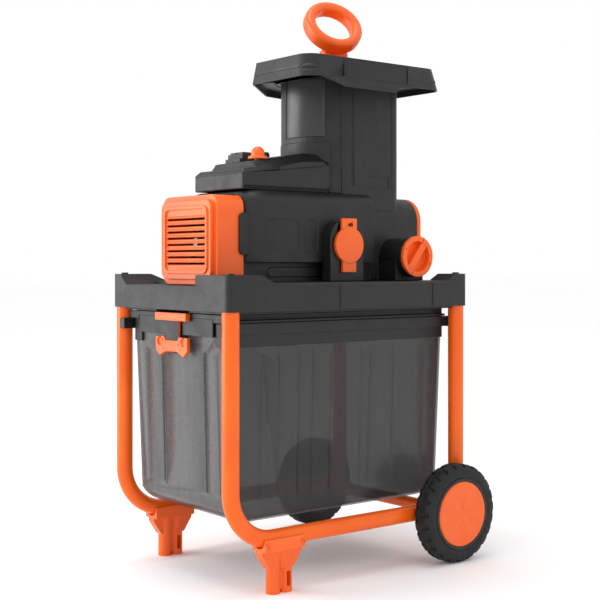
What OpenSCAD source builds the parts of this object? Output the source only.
// Garden drum chipper on a wheeled tube frame, with a pull-out collecting bin.
// Millimetres, floor at Z = 0. +X runs from the latch end to the wheel end, and the
// power inlet and the adjusting knob are on the -Y side.

/* [Tube frame] */
// Outer diameter of the bent frame tube
tube_d = 28; // [26:1:28]
// Wall thickness of the frame tube
tube_wall = 1.5; // [1:0.1:2.5]
// Distance from the machine's middle plane to each side frame
side_y = 161.6; // [161:0.2:163]
// X of the two legs at the latch end
front_leg_x = -265.2; // [-266:0.2:-264]
// X of the two legs at the wheel end
rear_leg_x = 231; // [229:1:233]
// Height of the bottom rail's centreline
rail_z = 87.8; // [86:0.2:89]
// Centreline radius of the bend at the latch end
front_bend = 80; // [70:1:85]
// Centreline radius of the bend at the wheel end
rear_bend = 50; // [46:1:56]
// Height of the tube ends inside the deck
leg_top = 487; // [480:1:489]

/* [Feet and wheels] */
// X of the middle of each foot
foot_x = -171; // [-175:1:-160]
// Radius of each of the two columns of a foot
foot_column_r = 11.5; // [10:0.5:12]
// Outer diameter over the tread lugs
wheel_d = 172; // [160:1:176]
// Diameter of the orange wheel disc
wheel_disc_d = 118; // [110:1:122]
// Width of a wheel over its tread
wheel_w = 38; // [34:1:40]
// X of the wheel axle
axle_x = 193.2; // [190:0.2:196]
// Diameter of the axle rod
axle_d = 12; // [10:1:14]

/* [Deck] */
// Length of the deck
deck_l = 527.2; // [524:0.4:530]
// Width of the deck
deck_w = 354.4; // [352:0.4:356]
// Radius of the deck's upright corners
corner_r = 11; // [8:1:12]
// X of the middle of the deck
deck_x = -17.2; // [-18:0.2:-16]
// Lowest edge of the deck's skirt
deck_z0 = 449.3; // [448:0.1:450]
// Top face of the deck
deck_z1 = 494.3; // [493:0.1:496]
// Height of the raised corner pads over the deck
pad_h = 12.5; // [8:0.5:14]

/* [Bin] */
// Length of the bin at its top
bin_l = 476; // [470:1:478]
// Width of the bin at its top
bin_w = 276; // [268:1:277]
// Underside of the bin
bin_z0 = 107; // [100:1:115]
// Rim of the bin
bin_z1 = 444; // [440:1:445]
// Narrowing of each side of the bin from top to bottom
bin_taper = 9; // [4:1:14]

/* [Motor and drive] */
// Height of the motor axis
motor_z = 561; // [559:0.5:562]
// Outer radius of the stator
stator_r = 68; // [64:1:70]
// Outer radius of the rotor
rotor_r = 40; // [34:1:44]
// Radial air gap between rotor and stator
air_gap = 0.8; // [0.5:0.1:1.5]
// Distance from the motor axis to the drum axis
drum_offset = 15; // [15:0.5:17]
// Angle of the drum axis below the motor axis, seen along X
drum_angle = -15; // [-18:1:-12]
// Module and tooth counts of the first gear pair
module_1 = 1.25; // [1.25:0.05:1.3]
pinion_teeth = 10; // [10:1:11]
wheel_teeth = 72; // [70:1:72]
// Module and tooth counts of the second gear pair
module_2 = 2; // [1.9:0.05:2]
lay_teeth = 9; // [9:1:10]
output_teeth = 56; // [54:1:56]

/* [Crusher] */
// Radius over the teeth of the cutter drum
drum_r = 48; // [44:1:49]
// First and last X of the cutter drum
drum_x0 = 104; // [103:0.5:106]
drum_x1 = 172; // [168:0.5:173]
// Rows of teeth around the drum
drum_rows = 8; // [6:1:12]
// X and Z of the adjusting knob
knob_x = 147; // [140:1:150]
knob_z = 537.5; // [530:0.5:545]
// Diameter of the adjusting knob
knob_d = 72.5; // [60:0.5:76]
// Travel of the pressure plate
plate_travel = 6; // [3:0.5:6]

/* [Feed] */
// Lower and upper X of the feed chute
chute_x0 = -24; // [-26:1:-22]
chute_x1 = 171; // [169:1:173]
// Lower and upper Y of the feed chute
chute_y0 = -80; // [-82:1:-80]
chute_y1 = 74; // [74:1:76]
// Radius of the chute's half-round side
chute_r = 76; // [60:1:76]
// Height of the hopper's floor
hopper_floor = 850; // [848:1:852]
// Height of the hopper's rim
hopper_top = 877; // [872:1:880]
// Height of the middle of the plunger's ring
ring_z = 956; // [950:1:957]
// Centreline radius of the plunger's ring
ring_r = 45.5; // [42:0.5:46]
// Half thickness of the ring's bar, measured along a radius of the ring
ring_bar_r = 9.5; // [9:0.5:11]

/* [Hidden] */
$fn = 48;

orange = "#ff6424";
black = "#2b2b2e";
smoke = [0.2, 0.2, 0.22, 0.55];
steel = "#a8abb0";
alloy = "#c3c5c8";

running = 0.05;
gap = 0.3;
wall = 3;

deck_x0 = deck_x - deck_l / 2;
deck_x1 = deck_x + deck_l / 2;
axle_z = wheel_d / 2;
wheel_y = 177.5;
wheel_out_y = wheel_y + wheel_w;
bin_x0 = -257;
bin_x1 = bin_x0 + bin_l;

motor_y = 0;
drum_y = motor_y + drum_offset * cos(drum_angle);
drum_z = motor_z + drum_offset * sin(drum_angle);
centre_1 = module_1 * (pinion_teeth + wheel_teeth) / 2;
centre_2 = module_2 * (lay_teeth + output_teeth) / 2;
// The layshaft lies where circles of the two centre distances cross
lay_along = (centre_1 * centre_1 - centre_2 * centre_2 + drum_offset * drum_offset) / (2 * drum_offset);
lay_across = sqrt(centre_1 * centre_1 - lay_along * lay_along);
lay_y = motor_y + lay_along * cos(drum_angle) - lay_across * sin(drum_angle);
lay_z = motor_z + lay_along * sin(drum_angle) + lay_across * cos(drum_angle);
to_lay = atan2(lay_z - motor_z, lay_y - motor_y);
to_drum = atan2(drum_z - lay_z, drum_y - lay_y);
wheel_phase = mesh_phase(to_lay, 0, pinion_teeth, wheel_teeth);
output_phase = mesh_phase(to_drum, 0, lay_teeth, output_teeth);

case_x0 = 92;
case_x1 = 184;
housing_x0 = 92;
housing_x1 = 211;
hood_x0 = -184;
hood_half = 98;
hood_z0 = 527;
hood_z1 = 648.5;
arch_half = 83;
arch_top = 645;
arch_r = 42;
throat_lo = [106, -25];
throat_hi = [162, 50];
plate_face_y = drum_y - drum_r - 1.5 - plate_travel;
inlet_x = 8.5;
inlet_z = 556.5;
boss_face_y = -121;
hinge_y = -117.5;
hinge_z = 590;
plunger_x = 74;
plunger_y = -3;
latch_y = -1;
key_x = -107.5;
start_y = 30;
stop_y = 12;
selector_at = [-64, 20];
reset_at = [-123, -40];

// Angle of a gear that meshes with another one, whose tooth 0 points at angle a
function mesh_phase(line, a, driver, driven) =
    line + 180 + 180 / driven - (a - line) * driver / driven;

// ---------- shared outlines ----------

module along_x(x, y, z) {
    translate([x, y, z]) rotate([90, 0, 90]) children();
}

module along_y(x, y, z) {
    translate([x, y, z]) rotate([-90, 0, 0]) children();
}

module rounded(lo, hi, r) {
    translate([lo.x + r, lo.y]) square([hi.x - lo.x - 2 * r, hi.y - lo.y]);
    translate([lo.x, lo.y + r]) square([hi.x - lo.x, hi.y - lo.y - 2 * r]);
    for (x = [lo.x + r, hi.x - r], y = [lo.y + r, hi.y - r])
        translate([x, y]) circle(r = r);
}

module box(lo, hi) {
    translate(lo) cube(hi - lo);
}

module ring(ro, ri) {
    difference() {
        circle(r = ro);
        circle(r = ri);
    }
}

module deck_outline(inset) {
    rounded([deck_x0 + inset, -deck_w / 2 + inset], [deck_x1 - inset, deck_w / 2 - inset], corner_r - inset);
}

module arch_outline(inset) {
    intersection() {
        rounded([-arch_half + inset, 400], [arch_half - inset, arch_top - inset], arch_r - inset);
        translate([-arch_half, deck_z1 + gap]) square([2 * arch_half, 300]);
    }
}

module chute_outline(inset) {
    lo = [chute_x0 + inset, chute_y0 + inset];
    hi = [chute_x1 - inset, chute_y1 - inset];
    intersection() {
        rounded(lo, hi, 16 - inset);
        rounded(lo, hi + [200, 0], chute_r - inset);
    }
}

module hopper_outline(inset) {
    along_cut = inset * cos(45);
    difference() {
        rounded([-95 + inset, -140 + inset], [223 - inset, 131 - inset], 28 - inset);
        // Corner cut away towards the latch end
        translate([along_cut, -along_cut])
            polygon([[-148, -38], [11, 118], [67, 132], [67, 200], [-148, 200]]);
    }
}

// Involute gear as a flat-sided plate with a hexagonal seat, along X
module gear(x, y, z, mod, teeth, width, phase, seat) {
    pitch_r = mod * teeth / 2;
    base_r = pitch_r * cos(25);
    tip_r = pitch_r + 0.8 * mod;
    root_r = pitch_r - 1.1 * mod;
    slack = 0.1 / pitch_r * 180 / PI;
    half_tooth = 90 / teeth + involute(acos(base_r / pitch_r)) - slack;
    start_r = max(base_r, root_r);
    flank = [for (i = [0:4]) start_r + (tip_r - start_r) * i / 4];
    along_x(x, y, z) linear_extrude(width) difference() {
        polygon([for (t = [0:teeth - 1]) let (mid = phase + t * 360 / teeth) each concat(
            base_r > root_r ? [polar(root_r, mid - half_tooth)] : [],
            [for (r = flank) polar(r, mid - half_tooth + involute(acos(min(1, base_r / r))))],
            [for (i = [4:-1:0]) polar(flank[i], mid + half_tooth - involute(acos(min(1, base_r / flank[i]))))],
            base_r > root_r ? [polar(root_r, mid + half_tooth)] : [])]);
        circle(r = seat, $fn = 6);
    }
}

function polar(r, a) = [r * cos(a), r * sin(a)];
function involute(a) = tan(a) * 180 / PI - a;

// ---------- frame, feet and wheels ----------

module tube_section() {
    ring(tube_d / 2, tube_d / 2 - tube_wall);
}

module side_frame(side) {
    front_x = front_leg_x + front_bend;
    rear_x = rear_leg_x - rear_bend;
    color(orange) translate([0, side * side_y, 0]) difference() {
        union() {
            translate([front_leg_x, 0, rail_z + front_bend])
                linear_extrude(leg_top - rail_z - front_bend) tube_section();
            translate([rear_leg_x, 0, rail_z + rear_bend])
                linear_extrude(leg_top - rail_z - rear_bend) tube_section();
            translate([front_x, 0, rail_z + front_bend]) rotate([90, 0, 0]) rotate([0, 0, 180])
                rotate_extrude(angle = 90) translate([front_bend, 0]) tube_section();
            translate([rear_x, 0, rail_z + rear_bend]) rotate([90, 0, 0]) rotate([0, 0, 270])
                rotate_extrude(angle = 90) translate([rear_bend, 0]) tube_section();
            translate([front_x, 0, rail_z]) rotate([0, 90, 0])
                linear_extrude(rear_x - front_x) tube_section();
        }
        translate([axle_x, -30, axle_z]) rotate([-90, 0, 0]) cylinder(d = axle_d, h = 60);
    }
}

module side_frame_left() {
    side_frame(1);
}

module side_frame_right() {
    side_frame(-1);
}

// Two columns joined by a web, with gussets up to a saddle that wraps the rail
module foot(side) {
    saddle_half = 45;
    column_dx = foot_column_r + 0.5;
    color(orange) translate([foot_x, side * side_y, 0]) difference() {
        union() {
            for (x = [-column_dx, column_dx]) translate([x, 0, 0]) cylinder(r = foot_column_r, h = 76);
            box([-column_dx, -6, 6], [column_dx, 6, 76]);
            along_y(0, -9, 0) mirror([0, 1, 0]) linear_extrude(18)
                polygon([[-saddle_half, 72], [saddle_half, 72], [24, 40], [-24, 40]]);
            box([-saddle_half, -18, 70], [saddle_half, 18, 90]);
        }
        translate([-60, 0, rail_z]) rotate([0, 90, 0]) cylinder(r = tube_d / 2, h = 120);
        box([column_dx - 4, -20, 10], [column_dx + 4, 0, 34]);
    }
}

module foot_left() {
    foot(1);
}

module foot_right() {
    foot(-1);
}

// Socket-head bolts of the feet and of the deck's leg sockets
module frame_bolts() {
    color(steel) {
        for (s = [-1, 1], x = [foot_x - 36, foot_x + 36])
            along_y(x, s * (side_y + 18), 80) mirror([0, 0, s < 0 ? 1 : 0]) bolt(4, 3);
        for (s = [-1, 1], x = [front_leg_x, rear_leg_x])
            translate([x, s * side_y, deck_z1 + pad_h]) bolt(6, 2.5);
    }
}

module bolt(r, h) {
    difference() {
        cylinder(r = r, h = h);
        translate([0, 0, h / 2]) cylinder(r = r / 2, h = h, $fn = 6);
    }
}

// Cross tube that carries the axle between the two side frames
module axle_tube() {
    inner_y = side_y - tube_d / 2;
    color(orange) along_y(axle_x, -inner_y, axle_z)
        linear_extrude(2 * inner_y) ring(11, axle_d / 2);
}

module axle() {
    end_y = wheel_out_y - 6;
    color(steel) along_y(axle_x, -end_y, axle_z) cylinder(d = axle_d, h = 2 * end_y);
}

// Push-on retainer at each end of the axle, under the wheel disc
module axle_caps() {
    end_y = wheel_out_y - 6;
    color(steel) for (s = [-1, 1])
        along_y(axle_x, s * (end_y - 3) - 1.5, axle_z) linear_extrude(3) ring(11, axle_d / 2);
}

// Spoked wheel with a bored hub that runs on the axle
module wheel_rim(side) {
    rim_r = 62;
    hub_r = 15;
    bore_r = axle_d / 2 + running;
    y0 = side > 0 ? wheel_y : -wheel_out_y;
    web_y = side > 0 ? 12 : wheel_w - 12 - 8;
    hub_h = wheel_w - 12;
    hub_y = side > 0 ? 0 : 12;
    color(black) along_y(axle_x, y0, axle_z) difference() {
        union() {
            linear_extrude(wheel_w) ring(rim_r, rim_r - 5);
            translate([0, 0, web_y]) cylinder(r = rim_r - 4, h = 8);
            translate([0, 0, hub_y]) cylinder(r = hub_r, h = hub_h);
        }
        translate([0, 0, -1]) cylinder(r = bore_r, h = wheel_w + 2);
        for (a = [0:60:300]) rotate(a + 30) translate([38, 0, -1]) cylinder(r = 11, h = wheel_w + 2);
    }
}

// Tread ring with a row of blocks on each shoulder
module tyre(side) {
    rim_r = 62;
    tread_r = wheel_d / 2;
    groove = 3;
    y0 = side > 0 ? wheel_y : -wheel_out_y;
    color("#1c1c1e") along_y(axle_x, y0, axle_z) difference() {
        rotate_extrude() polygon([
            [rim_r, 0], [tread_r - 6, 0], [tread_r, 5],
            [tread_r, wheel_w - 5], [tread_r - 6, wheel_w], [rim_r, wheel_w]]);
        for (a = [0:15:345]) rotate(a) {
            translate([tread_r - groove, -2, -1]) cube([6, 4, wheel_w / 2 - 2]);
            rotate(7.5) translate([tread_r - groove, -2, wheel_w / 2 + 3]) cube([6, 4, wheel_w / 2]);
        }
    }
}

// Domed disc clipped over the outer face of the wheel
module hub_cap(side) {
    disc_r = wheel_disc_d / 2 - 2.5;
    flip = side > 0 ? 0 : 1;
    color(orange) translate([axle_x, side * (wheel_out_y - 9), axle_z])
        rotate([side > 0 ? -90 : 90, 0, 0]) difference() {
            rotate_extrude() polygon([
                [0, 4], [disc_r - 3, 4], [disc_r - 3, 0], [disc_r, 0],
                [disc_r, 8], [disc_r - 5, 10.5], [0, 10.5]]);
            for (k = [0:4]) rotate(72 * k + 36 * flip) translate([0, 0, 9])
                linear_extrude(4) polygon([[12, 0], [46, 14], [50, -6]]);
        }
}

module wheel_rim_left() {
    wheel_rim(1);
}

module tyre_left() {
    tyre(1);
}

module hub_cap_left() {
    hub_cap(1);
}

module wheel_rim_right() {
    wheel_rim(-1);
}

module tyre_right() {
    tyre(-1);
}

module hub_cap_right() {
    hub_cap(-1);
}

// ---------- slide rails and deck ----------

// Rail that the bin's flange slides on, clamped to both legs of a side frame
module slide_rail(side) {
    rail_lo = 412;
    rail_hi = 430;
    color(black) difference() {
        union() {
            box([front_leg_x + 12, side > 0 ? 141.5 : -147.3, rail_lo], [rear_leg_x - 12, side > 0 ? 147.3 : -141.5, rail_hi]);
            for (x = [front_leg_x, rear_leg_x])
                box([x - 13, side > 0 ? 141.5 : -158, rail_lo], [x + 13, side > 0 ? 158 : -141.5, rail_hi]);
        }
        for (x = [front_leg_x, rear_leg_x])
            translate([x, side * side_y, rail_lo - 1]) cylinder(r = tube_d / 2, h = 20);
    }
}

module slide_rail_left() {
    slide_rail(1);
}

module slide_rail_right() {
    slide_rail(-1);
}

// Raised pad with sloping flanks over one corner of the deck
module corner_pad(sx, sy, reach_x, reach_y, slope) {
    cx = sx > 0 ? deck_x1 : deck_x0;
    top = deck_z1 + pad_h;
    intersection() {
        translate([0, 0, deck_z1 - 1]) linear_extrude(pad_h + 1) deck_outline(0);
        translate([cx, 0, 0]) rotate([90, 0, 0]) translate([0, 0, -200]) linear_extrude(400)
            polygon([[sx * 5, deck_z1 - 1], [sx * 5, top], [-sx * reach_x, top], [-sx * (reach_x + slope), deck_z1 - 1]]);
        along_x(-400, 0, 0) linear_extrude(800)
            polygon([[sy * 200, deck_z1 - 1], [sy * 200, top], [sy * (deck_w / 2 - reach_y), top],
                [sy * (deck_w / 2 - reach_y - 12), deck_z1 - 1]]);
    }
}

module base_plate() {
    skin = 3.5;
    scoop_z = 489;
    color(black) difference() {
        union() {
            difference() {
                translate([0, 0, deck_z0]) linear_extrude(deck_z1 - deck_z0) deck_outline(0);
                translate([0, 0, deck_z0 - 1]) linear_extrude(deck_z1 - deck_z0 - skin + 1) deck_outline(skin);
            }
            corner_pad(-1, -1, 62, 90, 30);
            corner_pad(-1, 1, 62, 28, 30);
            corner_pad(1, -1, 36, 40, 12);
            corner_pad(1, 1, 36, 40, 12);
            box([deck_x0 + 1, -89, scoop_z - skin], [hood_x0 + 3, 143, scoop_z + 2]);
            intersection() {
                for (s = [-1, 1], x = [front_leg_x, rear_leg_x])
                    translate([x, s * side_y, deck_z0 + 2]) cylinder(r = tube_d / 2 + 4, h = deck_z1 - deck_z0 - 3);
                translate([0, 0, deck_z0]) linear_extrude(deck_z1 - deck_z0) deck_outline(1);
            }
        }
        for (s = [-1, 1], x = [front_leg_x, rear_leg_x])
            translate([x, s * side_y, deck_z0 - 1]) cylinder(r = tube_d / 2, h = leg_top - deck_z0 + 1);
        // Outlet under the cutter drum
        box([drum_x0 - 2, -60, deck_z1 - 20], [drum_x1 + 2, 68, deck_z1 + 20]);
        // Scooped recess under the air grille, open at the front edge
        box([deck_x0 - 10, -86, scoop_z], [hood_x0, 83, deck_z1 + 20]);
        along_x(deck_x0 - 10, 0, 0) linear_extrude(70)
            polygon([[-86, deck_z1 + 1], [-80, scoop_z], [131, scoop_z], [137, deck_z1 + 1]]);
    }
}

// Switch case under the deck that the bin's locking slide presses
module safety_switch() {
    color("#3c3c40") difference() {
        box([-252, -22, 462], [-232, 22, 485.4]);
        box([-253, -8, 461], [-244, 8, 470]);
    }
}

// ---------- collecting bin ----------

module bin_solid(inset) {
    corner_r = 60 - inset;
    lo_z = bin_z0 + inset;
    x0 = bin_x0 + inset;
    x1 = bin_x1 - inset;
    y1 = bin_w / 2 - inset;
    rise = bin_taper;
    intersection() {
        rotate([90, 0, 0]) translate([0, 0, -200]) linear_extrude(400) intersection() {
            rounded([x0, lo_z], [x1, bin_z1 + 200], corner_r);
            polygon([[x0, bin_z1], [x0 + rise, lo_z], [x1 - rise, lo_z], [x1, bin_z1]]);
        }
        along_x(-400, 0, 0) linear_extrude(800) intersection() {
            rounded([-y1, lo_z], [y1, bin_z1 + 200], corner_r / 2);
            polygon([[-y1, bin_z1], [rise - y1, lo_z], [y1 - rise, lo_z], [y1, bin_z1]]);
        }
    }
}

module bin_tub() {
    color(smoke) difference() {
        bin_solid(0);
        translate([0, 0, 0.01]) bin_solid(2.5);
        box([-300, -200, bin_z1 - 4], [300, 200, bin_z1 + 4]);
    }
}

// Black rim that stiffens the tub and carries the sliding flange
module bin_collar() {
    lo = [bin_x0 - 3, -bin_w / 2 - 2.5];
    hi = [bin_x1 + 3, bin_w / 2 + 2.5];
    flange_z = 430.6;
    color(black) difference() {
        union() {
            translate([0, 0, 392]) linear_extrude(bin_z1 - 392) rounded(lo, hi, 8);
            translate([0, 0, flange_z]) linear_extrude(4) rounded([lo.x, -146.4], [hi.x, 146.4], 6);
            translate([lo.x - 5, -146.4, flange_z]) cube([8, 292.8, bin_z1 - flange_z]);
            for (y = [latch_y - 58, latch_y + 44]) box([lo.x - 5, y, 410], [lo.x + 1, y + 14, flange_z + 1]);
        }
        translate([0, 0, 0]) intersection() {
            bin_solid(0);
            box([-400, -200, 0], [400, 200, bin_z1 - 4]);
        }
        translate([0, 0, bin_z1 - 5]) linear_extrude(10)
            rounded([bin_x0 + 4, 4 - bin_w / 2], [bin_x1 - 4, bin_w / 2 - 4], 6);
        // Channel of the locking slide, and the lower edge of the front wall over the grip
        box([lo.x - 6, latch_y - 22, 380], [lo.x - 2, latch_y + 22, bin_z1 + 1]);
        box([lo.x - 6, -112, 391], [bin_x0 + 7, 112, 407]);
        // Window that lets the slide's top block rise
        box([lo.x - 20, latch_y - 49, flange_z - 3], [lo.x - 4.9, latch_y + 49, bin_z1 + 1]);
    }
}

// Locking slide: winged grip, web and the block that enters the deck
module bin_latch() {
    face_x = bin_x0 - 8.4;
    grip_depth = 6.6;
    color(orange) {
        box([face_x - 5, latch_y - 20, 378], [face_x - 0.3, latch_y + 20, 436]);
        box([face_x - 9.3, latch_y - 47, 431], [face_x - 0.3, latch_y + 47, 444]);
        difference() {
            along_x(face_x - 0.5 - grip_depth, latch_y, 0) linear_extrude(grip_depth) polygon([
                [-48, 404], [-24, 405], [-19, 398], [19, 398], [24, 405], [48, 404],
                [48, 382], [36, 372], [16, 380], [-16, 380], [-36, 372], [-48, 382]]);
            for (y = [-36, 36]) along_x(face_x - 10, latch_y + y, 396) cylinder(r = 7, h = 6);
        }
    }
}

// ---------- motor ----------

module hood_outline(inset) {
    shoulder = 22;
    polygon([
        [inset - hood_half, hood_z0], [inset - hood_half, hood_z1 - shoulder - inset / 2],
        [shoulder - hood_half + inset / 2, hood_z1 - inset], [hood_half - shoulder - inset / 2, hood_z1 - inset],
        [hood_half - inset, hood_z1 - shoulder - inset / 2], [hood_half - inset, hood_z0]]);
}

// Upper shell over the motor and gearbox, open below and at both ends
module motor_hood() {
    color(black) difference() {
        along_x(hood_x0, 0, 0) linear_extrude(housing_x0 - hood_x0) hood_outline(0);
        along_x(hood_x0 - 1, 0, 0) linear_extrude(housing_x0 - hood_x0 + 2) hood_outline(wall);
        box([-150, -60, hood_z1 - 20], [-20, 55, hood_z1 + 20]);
        // Opening behind the power inlet
        along_y(inlet_x, -110, inlet_z) cylinder(r = 30, h = 20);
    }
}

// Lower tray that carries the motor on the deck
module motor_cradle() {
    half = 82;
    color(black) difference() {
        box([hood_x0, -half, deck_z1 + gap], [housing_x0, half, hood_z0]);
        box([hood_x0 + wall, wall - half, deck_z1 + gap + wall], [housing_x0 + 1, half - wall, hood_z0 + 1]);
        // Clearance for the gearbox, which reaches almost to the deck
        along_x(13, drum_y, drum_z) cylinder(r = 62.3, h = 80);
    }
}

// Orange air inlet over the fan, with eight louvre slots
module air_grille() {
    x0 = -245;
    lo = [-84, 490];
    hi = [81, 638];
    slots = 8;
    color(orange) difference() {
        union() {
            along_x(x0 + 8, 0, 0) linear_extrude(hood_x0 - gap - x0 - 8) intersection() {
                rounded(lo, hi, 20);
                translate([-100, 489 + gap]) square(200);
            }
            along_x(x0, 0, 0) linear_extrude(9) intersection() {
                rounded(lo + [8, 9], hi - [8, 9], 14);
                translate([-100, 489 + gap]) square(200);
            }
        }
        along_x(x0 + 3, 0, 0) linear_extrude(100) rounded(lo + [12, 12], hi - [12, 12], 10);
        along_x(x0 + 12, 0, 0) linear_extrude(100) rounded(lo + [3, 8], hi - [3, 3], 17);
        for (k = [0:slots - 1])
            box([x0 - 1, -61, 522 + 10.5 * k], [x0 + 5, 52, 527.5 + 10.5 * k]);
    }
}

module stator_core() {
    color(steel) along_x(-140, motor_y, motor_z) linear_extrude(125) difference() {
        intersection() {
            circle(r = stator_r);
            square(2 * stator_r - 12, center = true);
        }
        circle(r = rotor_r + air_gap);
    }
    color("#b06a34") for (x = [-160, -15])
        along_x(x, motor_y, motor_z) linear_extrude(20) ring(58, rotor_r + 3);
}

module rotor_core() {
    color(steel) along_x(-142, motor_y, motor_z) difference() {
        cylinder(r = rotor_r, h = 129);
        translate([0, 0, -1]) cylinder(r = 10, h = 131, $fn = 6);
    }
}

// Shaft with hexagonal seats for the rotor, the fan and the pinion
module motor_shaft() {
    color(steel) {
        along_x(-142, motor_y, motor_z) cylinder(r = 10, h = 129, $fn = 6);
        along_x(-190, motor_y, motor_z) cylinder(r = 8.5, h = 48);
        along_x(-224, motor_y, motor_z) cylinder(r = 8, h = 34, $fn = 6);
        along_x(-13, motor_y, motor_z) cylinder(r = 8.5, h = 43);
        along_x(30, motor_y, motor_z) cylinder(r = 3.6, h = 18, $fn = 6);
    }
}

module cooling_fan() {
    blades = 9;
    color("#55555a") along_x(-218, motor_y, motor_z) difference() {
        union() {
            cylinder(r = 14, h = 20, $fn = 12);
            translate([0, 0, 17]) cylinder(r = 54, h = 3, $fn = 12);
            for (k = [0:blades - 1]) rotate(k * 360 / blades) translate([12, -1.25, 2]) cube([42, 2.5, 16]);
        }
        translate([0, 0, -1]) cylinder(r = 8, h = 30, $fn = 6);
    }
}

module motor_pinion() {
    color(steel) gear(32, motor_y, motor_z, module_1, pinion_teeth, 14, 0, 3.6);
}

module bearing(x, y, z, ro, ri, width) {
    along_x(x, y, z) linear_extrude(width) ring(ro, ri + running);
}

// Ball bearings of the motor shaft, the layshaft and the drum shaft
module shaft_bearings() {
    color(steel) {
        bearing(-178, motor_y, motor_z, 17.5, 8.5, 10);
        bearing(14, motor_y, motor_z, 17.5, 8.5, 11);
        bearing(15, lay_y, lay_z, 13, 7.5, 9);
        bearing(81, lay_y, lay_z, 13, 5.5, 7);
        bearing(case_x0, drum_y, drum_z, 21, 12, 10);
        bearing(case_x1 - 10, drum_y, drum_z, 21, 12, 10);
    }
}

module rear_shield() {
    color(alloy) along_x(-178, motor_y, motor_z) linear_extrude(10) difference() {
        circle(r = stator_r - 6);
        circle(r = 17.5);
        for (a = [0:45:315]) rotate(a) translate([45, 0]) circle(r = 11);
    }
}

// ---------- gearbox ----------

module gearbox_outline(grow) {
    translate([drum_y, drum_z]) circle(r = 58.5 + grow);
    translate([lay_y, lay_z]) circle(r = 47 + grow);
}

module gearbox_plate() {
    color(alloy) along_x(14, 0, 0) difference() {
        linear_extrude(12) gearbox_outline(3);
        translate([motor_y, motor_z, -1]) cylinder(r = 17.5, h = 12);
        translate([motor_y, motor_z, 0]) cylinder(r = 10, h = 20);
        translate([lay_y, lay_z, 1]) cylinder(r = 13, h = 20);
    }
}

module gearbox_case() {
    color(alloy) along_x(26, 0, 0) difference() {
        linear_extrude(66) gearbox_outline(3);
        translate([0, 0, -1]) linear_extrude(64) gearbox_outline(0);
        translate([drum_y, drum_z, 50]) cylinder(r = 13, h = 20);
    }
    // Bearing boss of the layshaft
    color(alloy) along_x(80, lay_y, lay_z) linear_extrude(10) ring(16, 13);
}

module layshaft() {
    color(steel) {
        along_x(16, lay_y, lay_z) cylinder(r = 7.5, h = 12);
        along_x(28, lay_y, lay_z) cylinder(r = 5.6, h = 50, $fn = 6);
        along_x(78, lay_y, lay_z) cylinder(r = 5.5, h = 9);
    }
}

module layshaft_gear() {
    color(steel) gear(32, lay_y, lay_z, module_1, wheel_teeth, 12, wheel_phase, 5.6);
}

module layshaft_pinion() {
    color(steel) gear(50, lay_y, lay_z, module_2, lay_teeth, 26, 0, 5.6);
}

module output_gear() {
    color(steel) gear(52, drum_y, drum_z, module_2, output_teeth, 22, output_phase, 14);
}

// ---------- crusher ----------

module crusher_case() {
    half = 77.4;
    top = 616;
    low = deck_z1 + gap;
    color(alloy) difference() {
        box([case_x0, -half, low], [case_x1, half, top]);
        box([case_x0 + 10, 8 - half, low - 1], [case_x1 - 10, half - 8, top - 8]);
        box([throat_lo.x, throat_lo.y, top - 20], [throat_hi.x, throat_hi.y, top + 1]);
        along_x(case_x0 - 1, drum_y, drum_z) cylinder(r = 21, h = case_x1 - case_x0 + 2);
        along_y(knob_x, -half - 1, knob_z) cylinder(r = 6 + running, h = 12);
    }
}

// Drum built up from discs of hooked teeth, each turned a little from the last
module cutter_drum() {
    discs = 5;
    disc_w = (drum_x1 - drum_x0) / discs;
    color("#6e7075") difference() {
        for (k = [0:discs - 1]) along_x(drum_x0 + k * disc_w, drum_y, drum_z)
            rotate(k * 9) linear_extrude(disc_w + (k < discs - 1 ? 0.02 : 0)) polygon([
                for (t = [0:drum_rows - 1]) let (a = t * 360 / drum_rows) each [
                    polar(drum_r, a), polar(drum_r, a + 7), polar(drum_r - 11, a + 20), polar(drum_r - 13, a - 3)]]);
        along_x(drum_x0 - 1, drum_y, drum_z) cylinder(r = 14, h = 80, $fn = 6);
    }
}

module drum_shaft() {
    color(steel) {
        along_x(52, drum_y, drum_z) cylinder(r = 14, h = 22, $fn = 6);
        along_x(74, drum_y, drum_z) cylinder(r = 12, h = 29);
        along_x(103, drum_y, drum_z) cylinder(r = 14, h = 70, $fn = 6);
        along_x(173, drum_y, drum_z) cylinder(r = 12, h = 14);
    }
}

// Counter plate that the twigs are crushed against
module pressure_plate() {
    boss_y = plate_face_y - 25;
    color("#7d8086") difference() {
        union() {
            box([drum_x0 + 1, plate_face_y - 8, 516], [drum_x1 - 1, plate_face_y, 590]);
            along_y(knob_x, boss_y, knob_z) cylinder(r = 11, h = 20);
        }
        along_y(knob_x, boss_y - 1, knob_z) cylinder(r = 6 + running, h = 22);
    }
}

module adjusting_screw() {
    tip_y = plate_face_y - 7;
    color(steel) along_y(knob_x, -136, knob_z) cylinder(r = 6, h = tip_y + 136);
}

module adjusting_knob() {
    back_y = -133;
    depth = 19;
    color(orange) along_y(knob_x, back_y - depth, knob_z) difference() {
        union() {
            difference() {
                cylinder(r = knob_d / 2, h = depth);
                translate([0, 0, -1]) cylinder(r = knob_d / 2 - 9, h = 13);
            }
            rotate(-52) translate([-27.5, -6.5, 1]) cube([55, 13, 12]);
        }
        translate([0, 0, 16]) cylinder(r = 6, h = 10);
        for (a = [45:90:315]) rotate(a - 20) translate([knob_d / 2 - 4.5, 0, -1]) cylinder(r = 1.3, h = 8);
    }
}

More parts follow.
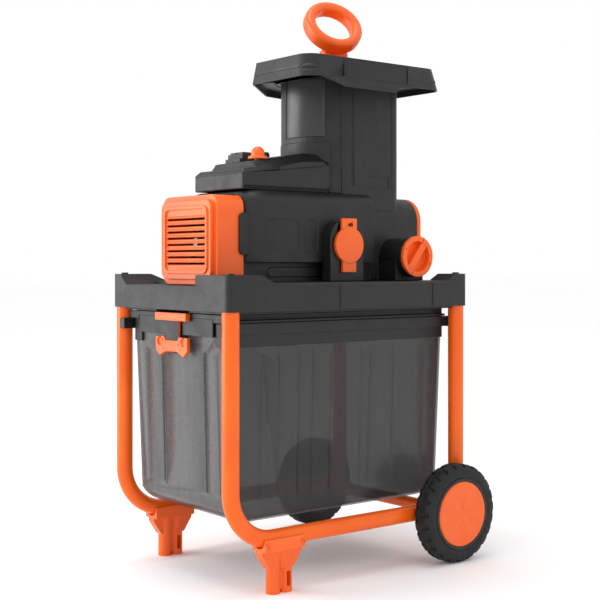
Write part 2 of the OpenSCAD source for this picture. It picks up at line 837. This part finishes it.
module crusher_housing() {
    boss_r = 33;
    color(black) difference() {
        union() {
            along_x(housing_x0, 0, 0) linear_extrude(housing_x1 - housing_x0) arch_outline(0);
            along_y(knob_x, -131, knob_z) cylinder(r = boss_r, h = 50);
        }
        along_x(housing_x0 - 1, 0, 0) linear_extrude(housing_x1 - housing_x0 + 2) arch_outline_inner();
        along_y(knob_x, -128, knob_z) cylinder(r = boss_r - wall, h = 49);
        along_y(knob_x, -140, knob_z) cylinder(r = 6 + running, h = 40);
        box([throat_lo.x, throat_lo.y, 640], [throat_hi.x, throat_hi.y, 670]);
    }
    // Duct between the chute and the throat of the crusher case
    color(black) difference() {
        box([throat_lo.x - wall, throat_lo.y - wall, 616], [throat_hi.x + wall, throat_hi.y + wall, arch_top - 2.5]);
        box([throat_lo.x, throat_lo.y, 610], [throat_hi.x, throat_hi.y, 660]);
    }
}

module arch_outline_inner() {
    intersection() {
        rounded([wall - arch_half, 300], [arch_half - wall, arch_top - wall], arch_r - wall);
        translate([-arch_half, deck_z1 - 1]) square([2 * arch_half, 300]);
    }
}

module end_cap() {
    depth = 10;
    color(orange) difference() {
        along_x(housing_x1, 0, 0) linear_extrude(depth) arch_outline(0);
        along_x(housing_x1 - 1, 0, 0) linear_extrude(depth - 3 + 1) arch_outline_inner();
    }
}

// ---------- controls and power inlet ----------

module control_profile(inset) {
    polygon([
        [inset - 180, 600], [inset - 180, 677 - inset], [inset - 174, 684 - inset], [inset - 150, 686.5 - inset],
        [inset - 148, 697.5 - inset], [-34, 717 - inset], [-8, 716 - inset], [7 - inset, 700 - inset / 2], [7 - inset, 600]]);
}

// Cross-section with sloping shoulders, in heights above the shoulder's edge
module control_section(inset) {
    polygon([
        [inset - 75, -90], [inset - 75, -inset], [-52, 26 - inset], [45, 26 - inset],
        [68 - inset, -inset], [68 - inset, -90]]);
}

module control_solid(inset) {
    shoulder_rise = 6.2;
    intersection() {
        rotate([90, 0, 0]) translate([0, 0, -200]) linear_extrude(400) control_profile(inset);
        translate([-180, 0, 676]) rotate([0, -shoulder_rise, 0])
            along_x(-30, 0, 0) linear_extrude(260) control_section(inset);
        box([-300, -200, hood_z1 + gap], [300, 200, 800]);
    }
}

module control_box() {
    pocket_z = 700;
    color(black) difference() {
        union() {
            difference() {
                control_solid(0);
                translate([0, 0, -1]) control_solid(2.5);
                box([-177, -72, hood_z1 - 1], [4, 65, hood_z1 + 5]);
            }
            // Floor under the reset button's pocket
            intersection() {
                translate([reset_at.x, reset_at.y, pocket_z - 6]) cylinder(r = 20, h = 6);
                control_solid(0.5);
            }
        }
        translate([0, 0, 600]) linear_extrude(200) chute_outline(-0.5);
        control_bores();
        translate([reset_at.x, reset_at.y, pocket_z]) cylinder(r = 18, h = 30);
    }
}

// Stem holes of the buttons and of the direction knob
module control_bores() {
    key_bores();
    translate([selector_at.x, selector_at.y, 680]) cylinder(r = 5 + running, h = 60);
    translate([reset_at.x, reset_at.y, 680]) cylinder(r = 6.3, h = 60);
}

module key_bores() {
    for (y = [start_y, stop_y]) translate([key_x, y, 680]) cylinder(r = 5.2, h = 60);
}

module capacitor() {
    color("#d8d8da") along_x(-112, 32, 664) cylinder(r = 17, h = 78);
}

// Case of the start and stop keys, open on top
module switch_body() {
    floor_z = 708.8;
    color("#1f1f22") difference() {
        intersection() {
            box([key_x - 24.5, 0, 690], [key_x + 21.5, 44, 715]);
            along_y(0, -10, 0) mirror([0, 1, 0]) linear_extrude(100) polygon([
                [key_x - 24.5, 690], [key_x - 24.5, 706.6], [key_x - 19, 707], [key_x - 19, 715],
                [key_x + 21.5, 715], [key_x + 21.5, 690]]);
        }
        control_solid(-0.1);
        box([key_x - 16.5, 3, floor_z], [key_x + 16.5, 20, 730]);
        box([key_x - 16.5, 23, floor_z], [key_x + 16.5, 41, 730]);
        key_bores();
    }
}

module key(y0, y1, stem_y) {
    box([key_x - 16.1, y0, 713], [key_x + 16.1, y1, 718.5]);
    translate([key_x, stem_y, 694]) cylinder(r = 4.8, h = 20);
}

module start_button() {
    color("#2f9e4f") key(23.4, 40.6, start_y);
}

module stop_button() {
    color("#c8322a") key(3.4, 19.6, stop_y);
}

module direction_knob() {
    color("#1f1f22") translate([selector_at.x, selector_at.y, 0]) {
        translate([0, 0, 714]) cylinder(r = 9, h = 5);
        translate([0, 0, 700]) cylinder(r = 5, h = 15);
        box([-8, -2.5, 718], [8, 2.5, 722.5]);
    }
}

// Domed overload reset button with a flange
module reset_button() {
    dome_z = 713;
    color(orange) translate([reset_at.x, reset_at.y, 0]) {
        translate([0, 0, 703]) cylinder(r1 = 17, r2 = 16, h = 5);
        translate([0, 0, 707]) cylinder(r = 11.5, h = dome_z - 707);
        translate([0, 0, dome_z]) intersection() {
            sphere(r = 11.5);
            cylinder(r = 20, h = 20);
        }
        translate([0, 0, 690]) cylinder(r = 6, h = 20);
    }
}

module inlet_arch(half) {
    crown_z = 602 - half;
    translate([inlet_x, crown_z]) circle(r = half);
    translate([inlet_x - half, deck_z1 + gap]) square([2 * half, crown_z - deck_z1 - gap]);
}

// Arched boss on the side of the motor shell that houses the power inlet
module inlet_housing() {
    boss_half = 37.5;
    color(black) difference() {
        rotate([90, 0, 0]) translate([0, 0, hood_half]) linear_extrude(-boss_face_y - hood_half) inlet_arch(boss_half);
        along_y(inlet_x, boss_face_y - 1, inlet_z) cylinder(r = 28, h = 60);
        // Notch that the cover's upper tab swings into, and the bores of its pin
        box([inlet_x - 17.5, boss_face_y - 1, hinge_z - 7], [inlet_x + 17.5, -101, hinge_z + 20]);
        along_x(inlet_x - 22, hinge_y, hinge_z) cylinder(r = 3 + running, h = 44);
    }
}

// Plug insert with three flat pins at the bottom of the recess
module inlet_socket() {
    color("#303034") along_y(inlet_x, -104, inlet_z) difference() {
        cylinder(r = 28, h = 6);
        translate([0, 0, -3]) cylinder(r = 20, h = 6);
    }
    color(steel) for (p = [[-10, 4], [10, 4], [0, -9]])
        box([inlet_x + p.x - 3, -112, inlet_z + p.y - 1], [inlet_x + p.x + 3, -100, inlet_z + p.y + 1]);
}

// Flap over the inlet, with a hinge tab above and a finger tab below
module inlet_cover() {
    cx = inlet_x;
    cz = inlet_z;
    back_y = boss_face_y - 0.4;
    color(orange) rotate([90, 0, 0]) translate([0, 0, -back_y]) difference() {
        union() {
            translate([cx, cz]) cylinder(r = 31, h = 7);
            translate([cx - 16.5, cz, 0]) cube([33, 46, 6]);
            translate([cx - 15, cz - 46.5, 0]) cube([30, 46, 6]);
        }
        translate([cx, cz, -1]) cylinder(r = 27, h = 4);
    }
    color(orange) along_x(cx - 21.5, hinge_y, hinge_z) cylinder(r = 3, h = 43);
    color(orange) box([cx - 9, back_y - 1, hinge_z - 4], [cx + 9, hinge_y, hinge_z + 4]);
}

// ---------- feed ----------

// Sloping guide inside the chute that narrows it to the throat
module guide_x(x_low, x_high) {
    rotate([90, 0, 0]) translate([0, 0, -chute_y1 + 2]) linear_extrude(chute_y1 - chute_y0 - 4)
        polygon([[x_low, arch_top + gap], [x_high, 735], [x_high, 739], [x_low, arch_top + 6]]);
}

module guide_y(y_low, y_high) {
    along_x(chute_x0 + 2, 0, 0) linear_extrude(chute_x1 - chute_x0 - 4)
        polygon([[y_low, arch_top + gap], [y_high, 735], [y_high, 739], [y_low, arch_top + 6]]);
}

module feed_chute() {
    color(black) difference() {
        union() {
            translate([0, 0, 612]) linear_extrude(hopper_floor - gap - 612) difference() {
                chute_outline(0);
                chute_outline(wall);
            }
            intersection() {
                union() {
                    guide_x(throat_lo.x, chute_x0 + 1);
                    guide_y(throat_lo.y, chute_y0 + 1);
                    guide_y(throat_hi.y, chute_y1 - 1);
                }
                translate([0, 0, 640]) linear_extrude(120) chute_outline(0.5);
            }
        }
        along_x(housing_x0 - 0.1, 0, 0) linear_extrude(200) arch_outline(-0.1);
        along_x(hood_x0 - 1, 0, 0) linear_extrude(housing_x0 - hood_x0 + 1) hood_outline(-0.1);
        translate([0, 0, 600]) linear_extrude(300) rounded(throat_lo, throat_hi, 2);
    }
}

module hopper() {
    skirt_z = 838;
    color(black) difference() {
        union() {
            translate([0, 0, skirt_z]) linear_extrude(hopper_top - skirt_z) hopper_outline(0);
            // Apron below the skirt on the inlet side
            rotate([90, 0, 0]) translate([0, 0, 137]) linear_extrude(wall)
                polygon([[-62, skirt_z], [-12, 825], [106, 825], [113, 833], [165, skirt_z + 1], [165, 845], [-62, 845]]);
        }
        translate([0, 0, skirt_z - 1]) linear_extrude(hopper_floor - skirt_z + 1) hopper_outline(wall);
        translate([0, 0, hopper_floor + wall]) linear_extrude(60) hopper_outline(wall);
        translate([0, 0, 800]) linear_extrude(100) chute_outline(wall);
    }
}

// Ring grip on a tapered neck with a cross bar that rests on the hopper floor
module plunger_handle() {
    tilt = 33;
    turn = -15;
    bar_half = 15;
    bar_z = hopper_floor + wall + gap;
    color(orange) {
        translate([plunger_x, plunger_y, ring_z]) rotate([90 - tilt, 0, turn])
            rotate_extrude() rounded([ring_r - ring_bar_r, -bar_half], [ring_r + ring_bar_r, bar_half], 9);
        translate([plunger_x, plunger_y - 3, 0]) difference() {
            along_y(0, -9, 0) mirror([0, 1, 0]) linear_extrude(18)
                polygon([[-34, bar_z + 7], [34, bar_z + 7], [27, 912], [-27, 912]]);
            translate([0, 3, ring_z]) rotate([90 - tilt, 0, turn]) translate([0, 0, -30]) cylinder(r = ring_r, h = 60);
        }
        box([plunger_x - 30, chute_y0 - 14, bar_z], [plunger_x + 30, chute_y1 + 14, bar_z + 8]);
    }
}

// Ribbed blade that pushes twigs down the chute
module plunger_paddle() {
    bar_z = hopper_floor + wall + gap;
    low_z = 790;
    color(black) {
        box([plunger_x - 60, plunger_y - 5, low_z], [plunger_x + 60, plunger_y + 5, bar_z]);
        for (dx = [-45, 0, 45])
            box([plunger_x + dx - 3, plunger_y - 30, low_z], [plunger_x + dx + 3, plunger_y + 30, bar_z]);
    }
}

side_frame_left();
side_frame_right();
foot_left();
foot_right();
frame_bolts();
axle_tube();
axle();
axle_caps();
slide_rail_left();
slide_rail_right();
wheel_rim_left();
tyre_left();
hub_cap_left();
wheel_rim_right();
tyre_right();
hub_cap_right();
base_plate();
safety_switch();
bin_tub();
bin_collar();
bin_latch();
motor_hood();
motor_cradle();
air_grille();
stator_core();
rotor_core();
motor_shaft();
cooling_fan();
motor_pinion();
shaft_bearings();
rear_shield();
gearbox_plate();
gearbox_case();
layshaft();
layshaft_gear();
layshaft_pinion();
output_gear();
crusher_case();
cutter_drum();
drum_shaft();
pressure_plate();
adjusting_screw();
adjusting_knob();
crusher_housing();
end_cap();
control_box();
capacitor();
switch_body();
start_button();
stop_button();
direction_knob();
reset_button();
inlet_housing();
inlet_socket();
inlet_cover();
feed_chute();
hopper();
plunger_handle();
plunger_paddle();
